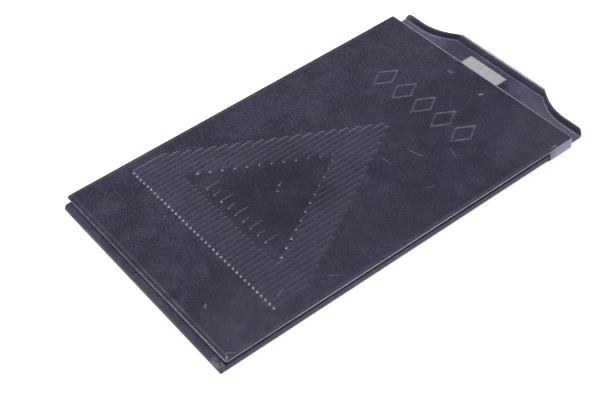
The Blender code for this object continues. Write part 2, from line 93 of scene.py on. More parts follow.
FINE_STEP = 0.16
TICK_ROOM = (0.4, 7.0)  # fine rows cover this stretch beyond the ribs for the bars
INNER_SKIP_COLUMNS, INNER_SKIP_NEAR, INNER_SKIP_FAR = 6, 4, 2  # border the inner face leaves out

# How far the strips end short at the near left corner, at their foot and their top
NEAR_STRIP_TRIM, LEFT_STRIP_TRIM = (0.4, 1.6), (1.5, 1.5)


def mesh_object(name, points_mm, faces, body):
    """A piece from points in millimetres, riding on a body."""
    mesh = bpy.data.meshes.new(name)
    mesh.from_pydata([tuple(MM * c for c in p) for p in points_mm], [], faces)
    mesh.update()
    obj = bpy.data.objects.new(name, mesh)
    bpy.context.scene.collection.objects.link(obj)
    mesh.shade_smooth()
    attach(obj, body)
    return obj


# ---------------------------------------------------------------- back sheet


def rib_offset(index):
    """X of a rib's axis from the middle of the triangle."""
    return (index - (RIB_COUNT - 1) / 2) * RIB_PITCH


def rib_x(index):
    """X of a rib's axis on the sheet."""
    return RIB_SHIFT + rib_offset(index)


def rib_spans(offset):
    """The stretches of Y that a rib covers, outside the plain inner triangle."""
    top = APEX - SLOPE * abs(offset)
    plain_top = PLAIN_APEX - PLAIN_SLOPE * abs(offset - PLAIN_SHIFT)
    if plain_top <= PLAIN_BASE + 1.2:
        return [(RIB_BASE, top)]
    return [(RIB_BASE, PLAIN_BASE), (plain_top, top)]


def capped(start, end, middles=2):
    """Rows along one rib stretch, close together at its rounded ends."""
    inner = np.linspace(start + RIB_R, end - RIB_R, middles + 2)[1:-1]
    return [start + c for c in CAP_STEPS] + list(inner) + [end - c for c in reversed(CAP_STEPS)]


def row_places(offset):
    """Y of every row of the sheet's grid, in the columns of the rib at offset."""
    spans = rib_spans(offset)
    top = spans[-1][1]
    if len(spans) == 2:
        lower_end, upper_start = spans[0][1], spans[1][0]
    else:
        lower_end = RIB_BASE + 0.3 * (top - RIB_BASE)
        upper_start = RIB_BASE + 0.6 * (top - RIB_BASE)
    room = upper_start - lower_end
    tick_steps = np.arange(*TICK_ROOM, FINE_STEP)
    squeeze = min(1.0, (room - 0.1) / (tick_steps[-1] + 0.5))
    rows = [FIRST_ROW, 0.45, 0.7, 0.95, 1.2, 1.45, 1.8, 3, 5, 7, 9, 11, 13, 15, 16.6, 17.2]
    rows += capped(RIB_BASE, lower_end)
    rows += list(lower_end + tick_steps * squeeze)
    rows += list(np.linspace(lower_end + tick_steps[-1] * squeeze, upper_start, 5)[1:-1])
    rows += capped(upper_start, top, 4)
    fine_start = LOZENGE_Y - LOZENGE_HALF_L - 1.6
    rows += list(np.linspace(top, fine_start, 11)[1:-1])
    rows += list(np.arange(fine_start, LOZENGE_Y + LOZENGE_HALF_L + 1.7, FINE_STEP))
    rows += [97, 98.5, 100, 100.5, 101, 101.24, 101.65, 101.9, 102.5, 104, 105.5, 107, 108.4]
    rows += [BACK_L - 0.5, BACK_L - CUT_REACH]
    return rows


def column_places():
    """X of every column from the middle of the sheet, and the rib each belongs to."""
    columns, ribs = [], []
    for i in range(RIB_COUNT):
        for column in RIB_COLUMNS:
            columns.append(rib_x(i) + column)
            ribs.append(i)
    border = [0.0, 0.15, 0.3, 0.45, 0.6, 0.75, 0.9, 1.4, 2.0, 2.6]
    left = [-FOLD_LINE + b for b in border]
    right = [FOLD_LINE - b for b in reversed(border)]
    left += list(np.linspace(left[-1], columns[0], 4)[1:-1])
    right = list(np.linspace(columns[-1], right[0], 4)[1:-1]) + right
    columns = left + columns + right
    ribs = [0] * len(left) + ribs + [RIB_COUNT - 1] * len(right)
    return np.array(columns), np.array(ribs)


def swell(distance, radius):
    """Arched section of a pressed ridge, 1 on its line and 0 at its foot."""
    return np.clip(1.0 - (distance / radius) ** 2, 0.0, 1.0)


def capsule(x, y, axis_x, span, radius, near_ease=1.0):
    """Section of one straight ridge with round ends, the near one drawn out where eased."""
    start, end = span
    near = (start + radius / near_ease - y) * near_ease
    beyond = np.maximum(np.maximum(near, y - (end - radius)), 0.0)
    return swell(np.hypot(x - axis_x, beyond), radius)


def lozenge(x, y, centre_x):
    """Section of one raised rhombus ring."""
    side = np.hypot(1 / LOZENGE_HALF_W, 1 / LOZENGE_HALF_L)
    across = np.sqrt((x - centre_x) ** 2 + 0.05) / LOZENGE_HALF_W
    along = np.sqrt((y - LOZENGE_Y) ** 2 + 0.05) / LOZENGE_HALF_L
    return swell(np.abs(across + along - 1.0) / side, STROKE_R)


def ribs(x, y):
    """Section of the triangle's ribs, 1 on their crests."""
    share = np.zeros_like(x)
    for i in range(RIB_COUNT):
        near_rib = np.abs(x - rib_x(i)) < RIB_PITCH / 2
        for span in rib_spans(rib_offset(i)):
            ease = 1.0 if span[0] == RIB_BASE else INNER_EASE
            ridge = capsule(x[near_rib], y[near_rib], rib_x(i), span, RIB_R, ease)
            share[near_rib] = np.maximum(share[near_rib], ridge)
    return share


def strokes(x, y):
    """Section of the plain ornament: a row of bars and a row of rhombi, 1 on their crests."""
    share = np.zeros_like(x)
    for i in range(TICK_COUNT):
        length = TICK_SHORT if i % 2 else TICK_LONG
        axis_x = RIB_SHIFT + (i - (TICK_COUNT - 1) / 2) * TICK_PITCH
        share = np.maximum(share, capsule(x, y, axis_x, (TICK_Y, TICK_Y + length), STROKE_R))
    for i in range(LOZENGE_COUNT):
        centre_x = (i - (LOZENGE_COUNT - 1) / 2) * LOZENGE_PITCH
        share = np.maximum(share, lozenge(x, y, centre_x))
    return share


def bump_line(t, centre, half_width):
    """1 on a line, falling to 0 at half_width from it."""
    return np.cos(np.clip((t - centre) / half_width, -1, 1) * math.pi / 2) ** 2


def sheet_relief(x, y):
    """Slow waves of the sheet and the step that the folded hem prints through it."""
    waves = 0.022 * np.sin(x / 8.5 + 1.3) * np.cos(y / 12.0 + 0.4)
    waves += 0.014 * np.sin((x + 0.8 * y) / 6.1) + 0.010 * np.cos((x - 1.4 * y) / 4.7)
    inside = np.clip((FOLD_LINE - np.abs(x)) / 4.0, 0, 1) * np.clip(y / 5.0, 0, 1)
    main = np.clip((BLOCK_Y - 1.0 - y) / 1.5, 0, 1)
    hem = -0.06 * bump_line(np.abs(x), FOLD_LINE - 0.45, 0.35) * main
    hem += -0.035 * bump_line(y, 0.75, 0.35) + 0.03 * bump_line(y, 1.45, 0.45)
    crease = -0.06 * bump_line(x, 34.2, 0.5) * bump_line(y, BLOCK_Y + 1.2, 3.0)
    return waves * inside + hem + crease


def round_near_corners(x, y):
    """Map the grid's two near corners from square to round."""
    u = (np.abs(x) - (FOLD_LINE - CORNER_R)) / CORNER_R
    v = (FIRST_ROW + CORNER_R - y) / CORNER_R
    both = (u > 0) & (v > 0)
    u0, v0 = np.clip(u, 0, 1), np.clip(v, 0, 1)
    new_x = FOLD_LINE - CORNER_R + CORNER_R * u0 * np.sqrt(1 - v0 * v0 / 2)
    new_y = FIRST_ROW + CORNER_R - CORNER_R * v0 * np.sqrt(1 - u0 * u0 / 2)
    return np.where(both, np.sign(x) * new_x, x), np.where(both, new_y, y)


def arc(radius, start_deg, end_deg, count):
    """Offsets (outward, up) along a quarter fold, from its top tangent."""
    angles = np.radians(np.linspace(start_deg, end_deg, count))
    return [(radius * math.sin(a), radius * (math.cos(a) - 1.0)) for a in angles]


def hem_profile():
    """Folded edge: half round, then back under the sheet."""
    fold = arc(HEM_T / 2, 0, 180, 11)
    flat = (HEM_HALF - FOLD_LINE) / (HEM_T / 2)
    fold = [(o * flat, z) for o, z in fold]
    return fold + [(-0.8, -HEM_T), (-0.82, -SHEET - 0.02), (-HEM_TURN, -SHEET)]


def flap_profile(reach):
    """Block wall: folded down, then up its inner face."""
    fold = arc(reach, 0, 90, 7)
    low = -FLAP_DROP
    foot = [(reach, low + 0.1), (reach - 0.05, low + 0.02), (reach - 0.12, low)]
    foot += [(reach - SHEET + 0.08, low), (reach - SHEET, low + 0.08)]
    return fold + foot + [(reach - SHEET, -SHEET - 0.3), (reach - SHEET - 0.03, -SHEET)]


def cut_profile():
    """Plain cut edge of the sheet at the far end."""
    fold = [(0.0, 0.0), (0.03, -0.005), (0.055, -0.02), (0.072, -0.045)]
    fold += [(CUT_REACH, drop) for drop in (-0.08, -0.16, -0.24, -0.32)]
    fold += [(0.06, -0.37), (0.02, -SHEET)]
    return fold + [(-0.2, -SHEET), (-0.4, -SHEET), (-0.6, -SHEET), (-HEM_TURN, -SHEET)]


def grid_faces(columns, rows, first=0, upward=True):
    """Quads of a grid whose points start at index first."""
    faces = []
    for i in range(columns - 1):
        for j in range(rows - 1):
            a = first + i * rows + j
            quad = (a, a + rows, a + rows + 1, a + 1)
            faces.append(quad if upward else quad[::-1])
    return faces


def border_walk(columns, rows):
    """Grid indices once round the sheet, starting at the near left corner."""
    walk = [(i, 0) for i in range(columns)]
    walk += [(columns - 1, j) for j in range(1, rows)]
    walk += [(i, rows - 1) for i in range(columns - 2, -1, -1)]
    return walk + [(0, j) for j in range(rows - 2, 0, -1)]


def border_style(x, y):
    """Outward direction and edge profile of a border point."""
    side = 1.0 if x > 0 else -1.0
    on_side = abs(x) > FOLD_LINE - 0.01
    if on_side and y > BLOCK_Y:
        return (side, 0.0), (FLAP_RIGHT if side > 0 else FLAP_LEFT)
    if y > BACK_L - 0.2:
        return (0.0, 1.0), CUT
    dx = abs(x) - (FOLD_LINE - CORNER_R)
    dy = FIRST_ROW + CORNER_R - y
    if dx > 0 and dy > 0:
        length = math.hypot(dx, dy)
        return (side * dx / length, -dy / length), HEM
    return ((side, 0.0), HEM) if on_side else ((0.0, -1.0), HEM)


def add_inner_face(points, faces, grid, walk, loop):
    """The sheet's inner side, one thickness below its relief, joined to the last ring of its edge."""
    x, y, z = grid
    low_i, high_i = INNER_SKIP_COLUMNS, x.shape[0] - 1 - INNER_SKIP_COLUMNS
    low_j, high_j = INNER_SKIP_NEAR, x.shape[1] - 1 - INNER_SKIP_FAR
    first, rows = len(points), high_j - low_j + 1
    for i in range(low_i, high_i + 1):
        for j in range(low_j, high_j + 1):
            points.append((x[i, j], NEAR + y[i, j], z[i, j] - SHEET))
    faces += grid_faces(high_i - low_i + 1, rows, first, upward=False)
    rim = []
    for i, j in walk:
        inner_i, inner_j = min(max(i, low_i), high_i), min(max(j, low_j), high_j)
        rim.append(first + (inner_i - low_i) * rows + inner_j - low_j)
    for a in range(len(loop)):
        b = (a + 1) % len(loop)
        face = (loop[b], loop[a], rim[a], rim[b])
        faces.append(face if rim[a] != rim[b] else face[:3])


HEM, CUT = hem_profile(), cut_profile()
FLAP_RIGHT = flap_profile(BLOCK_HALF - FOLD_LINE + BLOCK_SHIFT)
FLAP_LEFT = flap_profile(BLOCK_HALF - FOLD_LINE - BLOCK_SHIFT)


def build_back():
    """The embossed back with its hem and the walls of the light-trap block."""
    columns, rib_of = column_places()
    rows = np.array([row_places(rib_offset(i)) for i in range(RIB_COUNT)])
    x = np.repeat(columns[:, None], rows.shape[1], axis=1)
    y = rows[rib_of]
    x, y = round_near_corners(x, y)
    stroke_share = strokes(x, y)
    embossing = np.maximum(RIB_H * ribs(x, y), STROKE_H * stroke_share)
    z = BACK_TOP + embossing + sheet_relief(x, y)
    nx, ny = x.shape
    points = [(x[i, j], NEAR + y[i, j], z[i, j]) for i in range(nx) for j in range(ny)]
    faces = grid_faces(nx, ny)
    walk = border_walk(nx, ny)
    loop = [i * ny + j for i, j in walk]
    styles = [border_style(x[i, j], y[i, j]) for i, j in walk]
    for k in range(1, len(HEM)):
        ring = []
        for (i, j), ((out_x, out_y), profile) in zip(walk, styles):
            outset, drop = profile[k]
            fade = max(0.0, 1.0 - k / 4)
            height = BACK_TOP + drop + fade * (z[i, j] - BACK_TOP)
            ring.append(len(points))
            points.append((x[i, j] + out_x * outset, NEAR + y[i, j] + out_y * outset, height))
        for a in range(len(loop)):
            b = (a + 1) % len(loop)
            faces.append((loop[b], loop[a], ring[a], ring[b]))
        loop = ring
    add_inner_face(points, faces, (x, y, z), walk, loop)
    sheet = mesh_object("back_sheet", points, faces, "holder")
    # share of the bars and rhombi, used by the lacquer for worn crests that also serve as painted
    # highlights
    worn = sheet.data.attributes.new("stroke", "FLOAT", "POINT")
    shares = np.zeros(len(points))
    shares[:nx * ny] = stroke_share.ravel()
    worn.data.foreach_set("value", shares)
    sheet.data.set_sharp_from_angle(angle=math.radians(50))
    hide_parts("back_panel")
    return sheet


# ---------------------------------------------------------------- dark slide

PULL_FLAT = (17.3, 117.15)
CREST_FLAT = (16.0, 118.7)
EAR_Y, CREST_EAR_Y = 113.3, 114.15
SWEEP_END = 28.0
EAR_ROUND = 1.7
SLIDE_HALF = SLIDE_HIGH[0]
SLIDE_UNDER = SLIDE_LOW[2]
SLIDE_T = 0.42
SLIDE_TIP = SLIDE_LOW[1]
TIP_CHAMFER = 2.0  # the sheet's leading corners are cut off, clear of the near strip's end
RIM_TOP = SLIDE_HIGH[2]


def bezier(p0, p1, p2, p3, t):
    """A point of a cubic curve in plan."""
    s = 1.0 - t
    weights = (s * s * s, 3 * s * s * t, 3 * s * t * t, t * t * t)
    return tuple(sum(w * p[k] for w, p in zip(weights, (p0, p1, p2, p3))) for k in (0, 1))


def half_outline(flat, ear_y):
    """Half of the pull's outline: straight middle, hollow sweep, straight ear."""
    flat_x, flat_y = flat
    drop = flat_y - ear_y
    bend = (flat_x, flat_y), (flat_x + 0.75 * drop, flat_y - 0.55 * drop)
    rest = (flat_x + 1.5 * drop, ear_y), (SWEEP_END, ear_y)
    middle = [(flat_x * t, flat_y) for t in (0.0, 0.25, 0.5, 0.75, 0.9, 0.97)]
    curve = [bezier(*bend, *rest, t) for t in np.linspace(0.0, 1.0, 21)]
    ear_start = SLIDE_HALF - EAR_ROUND
    straight = [(x, ear_y) for x in np.linspace(SWEEP_END, ear_start, 5)[1:]]
    tip = [(ear_start + EAR_ROUND * math.sin(a), ear_y) for a in np.linspace(0, math.pi / 2, 9)[1:]]
    return middle + curve + straight + tip


def whole_outline(half):
    """Left ear to right ear."""
    return np.array([(-x, y) for x, y in reversed(half[1:])] + half)


def rim_share(x):
    """How much of its full height the rim has at x: the ears' ends are rounded off."""
    reach = np.clip((SLIDE_HALF - abs(x)) / EAR_ROUND, 0.0, 1.0)
    return math.sqrt(max(0.0, 1.0 - (1.0 - reach) ** 2))


def rim_section():
    """Middle line of the bent sheet as (share of the lean, share of the height)."""
    fold = [(0.0, 0.0), (0.10, 0.03), (0.2, 0.10), (0.28, 0.20), (0.36, 0.32)]
    wall = [(0.50, 0.52), (0.62, 0.70), (0.74, 0.84)]
    lip = [(0.84, 0.93), (0.93, 0.98), (1.0, 1.0)]
    return fold + wall + lip


def build_slide():
    """Dark slide: flat sheet, pull floor and turned-up rim as one bent sheet."""
    foot = whole_outline(half_outline(PULL_FLAT, EAR_Y))
    crest = whole_outline(half_outline(CREST_FLAT, CREST_EAR_Y))
    top_z = RIM_TOP - SLIDE_T / 2
    base_z = SLIDE_UNDER + SLIDE_T / 2
    points, faces, rings = [], [], []
    for (fx, fy), (cx, cy) in zip(foot, crest):
        share = rim_share(fx)
        tip_y = SLIDE_TIP + max(0.0, abs(fx) - SLIDE_HALF + TIP_CHAMFER)
        line = [(fx, tip_y, base_z), (fx, NEAR + 60.0, base_z), (fx, NEAR + 108.0, base_z)]
        line += [(fx, NEAR + fy - 1.4, base_z), (fx, NEAR + fy - 0.5, base_z)]
        for lean, rise in rim_section()[1:]:
            lean, rise = lean * share, rise * share
            point = (fx + (cx - fx) * lean, NEAR + fy + (cy - fy) * lean)
            line.append((*point, base_z + (top_z - base_z) * rise))
        rings.append(np.array(line))
    rings = np.array(rings)
    along = np.gradient(rings, axis=1)
    across = np.gradient(rings, axis=0)
    normal = np.cross(across, along)
    normal /= np.linalg.norm(normal, axis=2, keepdims=True) + 1e-9
    upper = rings + normal * SLIDE_T / 2
    lower = rings - normal * SLIDE_T / 2
    tip = normalised(along[:, -1]) * SLIDE_T * 0.42
    ends = [rings[:, -1] + tip * 0.9 + normal[:, -1] * SLIDE_T * 0.3]
    ends += [rings[:, -1] + tip, rings[:, -1] + tip * 0.9 - normal[:, -1] * SLIDE_T * 0.3]
    section = np.concatenate([upper, np.stack(ends, axis=1), lower[:, ::-1]], axis=1)
    nx, ny = section.shape[:2]
    points = [tuple(p) for p in section.reshape(-1, 3)]
    for i in range(nx - 1):
        for j in range(ny):
            k = (j + 1) % ny
            faces.append((i * ny + j, (i + 1) * ny + j, (i + 1) * ny + k, i * ny + k))
    faces.append(tuple(range(ny - 1, -1, -1)))
    faces.append(tuple((nx - 1) * ny + j for j in range(ny)))
    slide = mesh_object("slide_sheet", points, faces, "slide")
    slide.data.set_sharp_from_angle(angle=math.radians(60))
    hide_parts("dark_slide")
    return slide


def build_bow_spring():
    """Round wire bow that returns the catch, with narrowed, closed ends."""
    low, high = (np.array(c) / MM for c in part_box("catch_spring"))
    radius = (high[2] - low[2]) / 2
    half, depth = high[0] - radius, high[1] - low[1] - 2 * radius
    points, faces = [], []
    stations, sides = 49, 12
    for i in range(stations):
        share = 2 * i / (stations - 1) - 1
        centre = np.array((half * share, low[1] + radius + depth * share**2, (low[2] + high[2]) / 2))
        along = normalised(np.array((half, 2 * depth * share, 0.0)))
        across = np.array((-along[1], along[0], 0.0))
        end = 0.6 if i in (0, stations - 1) else 1.0
        for k in range(sides):
            angle = 2 * math.pi * k / sides
            offset = across * math.cos(angle) + np.array((0.0, 0.0, 1.0)) * math.sin(angle)
            points.append(tuple(centre + offset * radius * end))
    for i in range(stations - 1):
        for k in range(sides):
            n = (k + 1) % sides
            a, b = i * sides, (i + 1) * sides
            faces.append((a + k, a + n, b + n, b + k))
    faces.append(tuple(range(sides)))
    faces.append(tuple((stations - 1) * sides + k for k in reversed(range(sides))))
    bow = mesh_object("bow_spring", points, faces, "holder")
    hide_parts("catch_spring")
    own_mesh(bow)
    set_material(bow, bare_steel("wire_steel", (0.34, 0.33, 0.32), 0.30, math.pi / 2))
    return bow


def normalised(vectors):
    """Rows of unit length."""
    return vectors / (np.linalg.norm(vectors, axis=-1, keepdims=True) + 1e-9)


# ---------------------------------------------------------------- materials


COLOUR_A, COLOUR_B = 6, 7  # colour sockets of the Mix node


class Nodes:
    """Short calls for building one material's node tree."""

    def __init__(self, name):
        self.material = bpy.data.materials.new(name)
        self.material.use_nodes = True
        self.tree = self.material.node_tree
        self.bsdf = self.tree.nodes["Principled BSDF"]
        self.coords = self.tree.nodes.new("ShaderNodeTexCoord").outputs["Object"]
        split = self.tree.nodes.new("ShaderNodeSeparateXYZ")
        self.tree.links.new(self.coords, split.inputs[0])
        self.place = split.outputs

    def add(self, kind, **inputs):
        node = self.tree.nodes.new(kind)
        for key, value in inputs.items():
            if hasattr(node, key) and key not in node.inputs:
                setattr(node, key, value)
            else:
                self.feed(node.inputs[key.replace("_", " ")], value)
        return node

    def feed(self, socket, value):
        if isinstance(value, bpy.types.NodeSocket):
            self.tree.links.new(value, socket)
        else:
            socket.default_value = value

    def scaled(self, scale, turn=0.0):
        """Object coordinates, turned about Z and stretched."""
        node = self.tree.nodes.new("ShaderNodeMapping")
        self.feed(node.inputs["Vector"], self.coords)
        node.inputs["Rotation"].default_value = (0.0, 0.0, turn)
        node.inputs["Scale"].default_value = scale
        return node.outputs["Vector"]

    def noise(self, size_mm, detail=3.0, rough=0.55, vector=None, distortion=0.0):
        """Noise whose features are about size_mm across."""
        node = self.tree.nodes.new("ShaderNodeTexNoise")
        self.feed(node.inputs["Vector"], vector or self.coords)
        node.inputs["Scale"].default_value = 1.0 / (size_mm * MM)
        node.inputs["Detail"].default_value = detail
        node.inputs["Roughness"].default_value = rough
        node.inputs["Distortion"].default_value = distortion
        return node.outputs["Fac"]

    def ramp(self, value, low, high, out_low=0.0, out_high=1.0):
        """Linear map from low..high to out_low..out_high, held at both ends."""
        node = self.tree.nodes.new("ShaderNodeMapRange")
        node.interpolation_type = "SMOOTHSTEP"
        self.feed(node.inputs["Value"], value)
        for key, v in zip(("From Min", "From Max", "To Min", "To Max"), (low, high, out_low, out_high)):
            node.inputs[key].default_value = v
        return node.outputs["Result"]

    def math(self, operation, a, b=0.0, c=0.0):
        node = self.tree.nodes.new("ShaderNodeMath")
        node.operation = operation
        for socket, value in zip(node.inputs, (a, b, c)):
            self.feed(socket, value)
        return node.outputs[0]

    def mix(self, factor, a, b):
        """Colour a to colour b."""
        node = self.tree.nodes.new("ShaderNodeMix")
        node.data_type = "RGBA"
        self.feed(node.inputs["Factor"], factor)
        self.feed(node.inputs[COLOUR_A], a)
        self.feed(node.inputs[COLOUR_B], b)
        return node.outputs[2]

    def bump(self, height, strength, distance_mm, below=None):
        node = self.tree.nodes.new("ShaderNodeBump")
        node.inputs["Strength"].default_value = strength
        node.inputs["Distance"].default_value = distance_mm * MM
        self.feed(node.inputs["Height"], height)
        if below:
            self.feed(node.inputs["Normal"], below)
        return node.outputs["Normal"]


def scratches(n, turn, width_mm, length_mm, amount):
    """Thin bright hairlines that run along one direction."""
    vector = n.scaled((1.0 / width_mm, 1.0 / length_mm, 1.0 / width_mm), turn)
    lines = n.noise(1.0, 2.0, 0.5, vector)
    fade = n.noise(9.0, 2.0)
    line_mask = n.ramp(lines, 0.70, 0.76)
    return n.math("MULTIPLY", line_mask, n.ramp(fade, 0.62 - amount, 0.72))


def specks(n, size_mm, cover):
    """Small pale grains of dust."""
    cells = n.tree.nodes.new("ShaderNodeTexVoronoi")
    n.feed(cells.inputs["Vector"], n.coords)
    cells.inputs["Scale"].default_value = 1.0 / (size_mm * MM)
    chosen = n.ramp(cells.outputs["Color"], 1.0 - cover, 1.0 - cover + 0.02)
    dot = n.ramp(cells.outputs["Distance"], 0.10, 0.26, 1.0, 0.0)
    return n.math("MULTIPLY", chosen, dot)


def window(n, axis, low_mm, high_mm, soft_mm):
    """1 between two places along an axis of the object, with soft ends."""
    place = n.place[axis]
    rise = n.ramp(place, (low_mm - soft_mm) * MM, (low_mm + soft_mm) * MM)
    fall = n.ramp(place, (high_mm - soft_mm) * MM, (high_mm + soft_mm) * MM, 1.0, 0.0)
    return n.math("MULTIPLY", rise, fall)


def steepness(n, gentle, steep):
    """0 where the surface is flatter than gentle, 1 where it is steeper than steep."""
    normal = n.tree.nodes.new("ShaderNodeNewGeometry").outputs["Normal"]
    split = n.tree.nodes.new("ShaderNodeSeparateXYZ")
    n.feed(split.inputs[0], normal)
    upright = n.math("ABSOLUTE", split.outputs[2])
    return n.ramp(upright, math.cos(steep), math.cos(gentle), 1.0, 0.0)


def shade(base, factor):
    """A colour made lighter or darker, with alpha."""
    return (*(c * factor for c in base), 1.0)


def lacquer(name, base, worn, roughness, dust):
    """Violet-black lacquer over steel: smudged, dusty, scratched."""
    n = Nodes(name)
    cloud = n.noise(13.0, 4.0, 0.6)
    fine = n.noise(0.42, 3.0, 0.75)
    colour = n.mix(n.ramp(cloud, 0.36, 0.62), shade(base, 0.62), shade(base, 1.32))
    warm = (base[0] * 1.2, base[1] * 1.2, base[2] * 0.8, 1.0)
    colour = n.mix(n.ramp(n.noise(17.0, 3.0, 0.5), 0.48, 0.62, 0.0, 0.55), colour, warm)
    film = n.math("MULTIPLY", n.ramp(n.noise(5.0, 5.0, 0.7), 0.45, 0.72), n.ramp(fine, 0.38, 0.62))
    colour = n.mix(n.math("MULTIPLY", film, 0.36 * dust), colour, (0.12, 0.115, 0.17, 1.0))
    blots = n.noise(1.1, 2.0, 0.6)
    colour = n.mix(n.ramp(blots, 0.34, 0.66, 0.35 * dust, 0.0), colour, shade(base, 0.35))
    colour = n.mix(n.ramp(fine, 0.50, 0.64, 0.0, 0.28 * dust), colour, (0.12, 0.115, 0.175, 1.0))
    colour = n.mix(n.ramp(fine, 0.36, 0.50, 0.6 * dust, 0.0), colour, (0.006, 0.005, 0.014, 1.0))
    marks = scratches(n, 0.5, 0.09, 6.0, 0.14)
    for turn, width, length, amount in ((-0.9, 0.07, 9.0, 0.12), (1.45, 0.08, 12.0, 0.12)):
        marks = n.math("MAXIMUM", marks, scratches(n, turn, width, length, amount))
    colour = n.mix(n.math("MULTIPLY", marks, 0.6), colour, (*worn, 1.0))
    dots = n.math("MAXIMUM", specks(n, 0.7, 0.06 * dust), specks(n, 1.5, 0.05 * dust))
    colour = n.mix(n.math("MULTIPLY", dots, 0.55), colour, (0.34, 0.32, 0.38, 1.0))
    n.colour = colour
    n.feed(n.bsdf.inputs["Base Color"], colour)
    smudge = n.noise(5.0, 5.0, 0.65, distortion=0.6)
    smudge = n.ramp(smudge, 0.3, 0.7, roughness - 0.05, roughness + 0.07)
    rough = n.math("ADD", smudge, n.math("MULTIPLY", dots, 0.4))
    n.feed(n.bsdf.inputs["Roughness"], rough)
    n.bsdf.inputs["Specular Tint"].default_value = (0.90, 0.88, 1.0, 1.0)
    skin = n.bump(n.noise(0.4, 3.0, 0.6), 0.4, 0.016)
    wave = n.bump(n.noise(9.0, 2.0, 0.4), 0.4, 0.12, skin)
    n.feed(n.bsdf.inputs["Normal"], n.bump(marks, 0.3, 0.01, wave))
    return n


def overlay_wear_and_light(n, mask, colour, amount=1.0, least=0.55):
    """Mix a colour in where mask is 1, patchy down to least: worn metal and a rubbed finish, and also
    painted highlights, reflections and shade.
    """
    patchy = n.ramp(n.noise(1.6, 4.0, 0.65), 0.30, 0.62, least, 1.0)
    share = n.math("MULTIPLY", n.math("MULTIPLY", mask, patchy), amount)
    n.colour = n.mix(share, n.colour, (*colour, 1.0))
    n.feed(n.bsdf.inputs["Base Color"], n.colour)


def streak_mark(n, x, y, turn, length_mm, width_mm):
    """A bright streak about a point of the sheet, with Y from the near edge: worn scuffs, and for one
    entry a painted highlight.
    """
    node = n.tree.nodes.new("ShaderNodeMapping")
    node.vector_type = "TEXTURE"
    n.feed(node.inputs["Vector"], n.coords)
    node.inputs["Location"].default_value = (x * MM, (NEAR + y) * MM, BACK_TOP * MM)
    node.inputs["Rotation"].default_value = (0.0, 0.0, turn)
    node.inputs["Scale"].default_value = (length_mm * MM, width_mm * MM, 1.0)
    reach = n.tree.nodes.new("ShaderNodeVectorMath")
    reach.operation = "LENGTH"
    n.feed(reach.inputs[0], node.outputs["Vector"])
    blob = n.ramp(reach.outputs["Value"], 0.35, 1.0, 1.0, 0.0)
    return n.math("MULTIPLY", blob, n.ramp(n.noise(0.6, 3.0, 0.7), 0.40, 0.58))


SCUFFS_AND_GLINT = (  # x, y, turn, length, width, strength
    (-5.2, 104.3, 0.3, 1.6, 0.6, 0.80),
    (6.9, 103.7, 0.9, 1.3, 0.5, 0.80),
    (-1.9, 43.2, 1.9, 1.2, 0.35, 0.85),
    (-0.3, 41.2, 0.2, 0.6, 0.4, 1.00),
    (30.6, 33.6, 0.8, 2.4, 0.22, 0.50),
    (18.6, 5.8, 2.4, 1.3, 0.4, 0.55),
    (27.0, 21.5, 1.8, 1.8, 0.5, 0.35),
    (13.0, 76.0, 0.25, 5.0, 0.16, 0.55),
    (19.0, 83.0, -0.35, 4.0, 0.14, 0.45),
    (9.0, 68.5, 0.1, 3.5, 0.14, 0.45),
    (24.0, 70.0, 1.25, 3.0, 0.14, 0.40),
    (34.2, 0.8, 2.4, 0.7, 0.35, 1.00),
    (33.6, 2.2, 0.9, 2.2, 0.35, 0.35),
    # painted highlight of the crease beside the block wall, not a scuff
    (34.3, 103.0, 1.5, 1.7, 0.30, 1.00),
)


